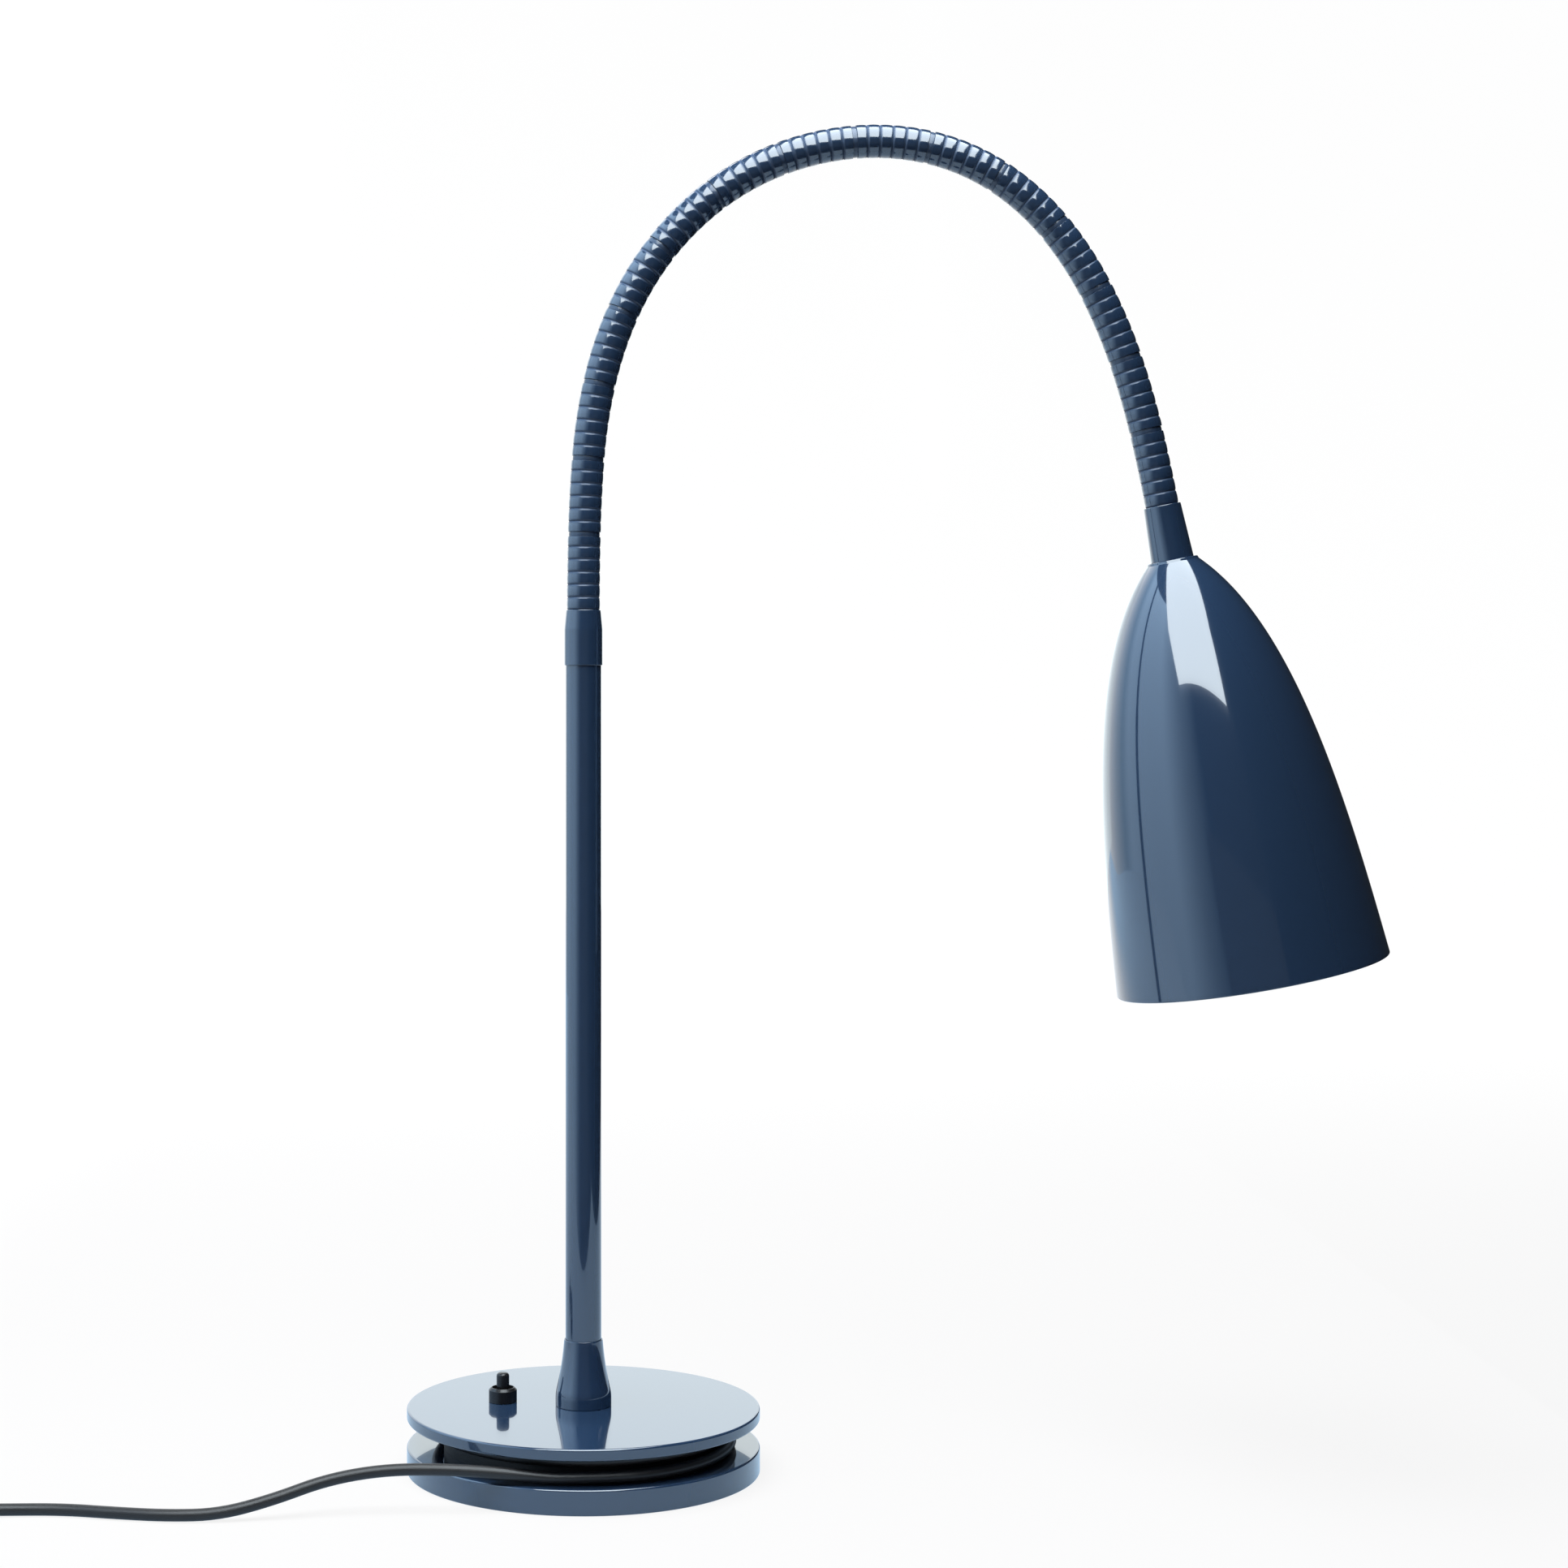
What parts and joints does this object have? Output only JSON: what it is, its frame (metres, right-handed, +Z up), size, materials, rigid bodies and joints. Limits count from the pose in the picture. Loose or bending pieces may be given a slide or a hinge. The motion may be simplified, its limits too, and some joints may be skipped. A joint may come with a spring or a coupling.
{
  "type": "gooseneck table lamp",
  "caption": "Table lamp with a round base that stores its cord, a straight stem, a ribbed flexible neck bent over to a long bell-shaped shade, and a push-button switch on the base.",
  "frame": {"origin": "centre of the foot pad's resting face, on the stem's axis, at table height", "axes": "+Z up along the stem, +X towards the shade in the neck's plane, +Y to the back, away from where the cord leaves the base"},
  "size_m": [0.5889, 0.1359, 0.4879],
  "materials": {
    "lacquer": "glossy dark blue lacquer on steel",
    "shade_lacquer": "glossy dark blue lacquer outside, matt white inside",
    "felt": "dense black felt",
    "drum_iron": "black painted casting",
    "zinc_steel": "zinc plated",
    "brass": "turned brass",
    "switch_black": "black moulding",
    "terminal_white": "white moulding",
    "cord_black": "black flexible sheath",
    "holder_white": "white heat-proof moulding",
    "cap_metal": "plain metal screw cap",
    "opal_glass": "opal glass",
    "pin_nickel": "nickel plated brass"
  },
  "bodies": {
    "stand": {"foot_pad": "felt", "base_plate": "lacquer", "base_screws": "zinc_steel", "cord_drum": "drum_iron", "base_cover": "lacquer", "cord_entry": "switch_black", "switch_housing": "switch_black", "switch_nut": "switch_black", "terminal_block": "terminal_white", "mains_tail": "cord_black", "switch_wire": "cord_black", "stem_tube": "lacquer", "stem_foot": "lacquer", "stem_insert": "brass", "stem_nipple": "zinc_steel", "stem_washer": "zinc_steel", "stem_nut": "zinc_steel", "neck_ferrule": "lacquer", "neck_link_00": "lacquer", "lamp_cable": "cord_black", "cord_winding": "cord_black", "cord_lead": "cord_black", "cord_coil": "cord_black", "cord_tie": "cord_black", "plug_body": "switch_black", "plug_pins": "pin_nickel"},
    "button": {"switch_button": "switch_black"},
    "neck_01": {"neck_link_01": "lacquer"},
    "neck_02": {"neck_link_02": "lacquer"},
    "neck_03": {"neck_link_03": "lacquer"},
    "neck_04": {"neck_link_04": "lacquer"},
    "neck_05": {"neck_link_05": "lacquer"},
    "neck_06": {"neck_link_06": "lacquer"},
    "neck_07": {"neck_link_07": "lacquer"},
    "neck_08": {"neck_link_08": "lacquer"},
    "neck_09": {"neck_link_09": "lacquer"},
    "neck_10": {"neck_link_10": "lacquer"},
    "neck_11": {"neck_link_11": "lacquer"},
    "neck_12": {"neck_link_12": "lacquer"},
    "neck_13": {"neck_link_13": "lacquer"},
    "head": {"neck_link_14": "lacquer", "head_ferrule": "lacquer", "shade": "shade_lacquer", "head_nipple": "zinc_steel", "head_nut": "zinc_steel", "holder_cap": "holder_white", "holder_sleeve": "holder_white", "holder_core": "holder_white", "bulb_cap": "cap_metal", "bulb_globe": "opal_glass"}
  },
  "joints": [
    {"name": "switch_press", "type": "slide", "parent": "stand", "child": "button", "axis": [0, 0, 1], "range_m": [-0.0025, 0], "stiffness_N_per_m": 500, "springref_m": 0.002},
    {"name": "neck_bend_01", "type": "hinge", "parent": "stand", "child": "neck_01", "pos_m": [0.00034, 0, 0.33907], "axis": [0, 1, 0], "range_deg": [-6, 3], "deforming": ["lamp_cable"]},
    {"name": "neck_bend_02", "type": "hinge", "parent": "neck_01", "child": "neck_02", "pos_m": [0.0017, 0, 0.36646], "axis": [0, 1, 0], "range_deg": [-10, 3], "deforming": ["lamp_cable"]},
    {"name": "neck_sway_03", "type": "hinge", "parent": "neck_02", "child": "neck_03", "pos_m": [0.0057, 0, 0.39357], "axis": [0.9763, 0, -0.2164], "range_deg": [-14, 14], "deforming": ["lamp_cable"]},
    {"name": "neck_bend_04", "type": "hinge", "parent": "neck_03", "child": "neck_04", "pos_m": [0.01423, 0, 0.41959], "axis": [0, 1, 0], "range_deg": [-16.5, 3], "deforming": ["lamp_cable"]},
    {"name": "neck_bend_05", "type": "hinge", "parent": "neck_04", "child": "neck_05", "pos_m": [0.02824, 0, 0.44309], "axis": [0, 1, 0], "range_deg": [-16.5, 3], "deforming": ["lamp_cable"]},
    {"name": "neck_sway_06", "type": "hinge", "parent": "neck_05", "child": "neck_06", "pos_m": [0.04771, 0, 0.46229], "axis": [0.6018, 0, -0.7986], "range_deg": [-14, 14], "deforming": ["lamp_cable"]},
    {"name": "neck_bend_07", "type": "hinge", "parent": "neck_06", "child": "neck_07", "pos_m": [0.07165, 0, 0.47548], "axis": [0, 1, 0], "range_deg": [-16.5, 3], "deforming": ["lamp_cable"]},
    {"name": "neck_bend_08", "type": "hinge", "parent": "neck_07", "child": "neck_08", "pos_m": [0.09831, 0, 0.48154], "axis": [0, 1, 0], "range_deg": [-16.5, 3], "deforming": ["lamp_cable"]},
    {"name": "neck_sway_09", "type": "hinge", "parent": "neck_08", "child": "neck_09", "pos_m": [0.12556, 0, 0.47963], "axis": [-0.2233, 0, -0.9748], "range_deg": [-14, 14], "deforming": ["lamp_cable"]},
    {"name": "neck_bend_10", "type": "hinge", "parent": "neck_09", "child": "neck_10", "pos_m": [0.15069, 0, 0.46899], "axis": [0, 1, 0], "range_deg": [-16.5, 3], "deforming": ["lamp_cable"]},
    {"name": "neck_bend_11", "type": "hinge", "parent": "neck_10", "child": "neck_11", "pos_m": [0.17106, 0, 0.45079], "axis": [0, 1, 0], "range_deg": [-16.5, 3], "deforming": ["lamp_cable"]},
    {"name": "neck_sway_12", "type": "hinge", "parent": "neck_11", "child": "neck_12", "pos_m": [0.18609, 0, 0.42791], "axis": [-0.8894, 0, -0.4571], "range_deg": [-14, 14], "deforming": ["lamp_cable"]},
    {"name": "neck_bend_13", "type": "hinge", "parent": "neck_12", "child": "neck_13", "pos_m": [0.19681, 0, 0.40269], "axis": [0, 1, 0], "range_deg": [-12, 3], "deforming": ["lamp_cable"]},
    {"name": "neck_bend_14", "type": "hinge", "parent": "neck_13", "child": "head", "pos_m": [0.20442, 0, 0.37635], "axis": [0, 1, 0], "range_deg": [-6, 3], "deforming": ["lamp_cable"]}
  ]
}
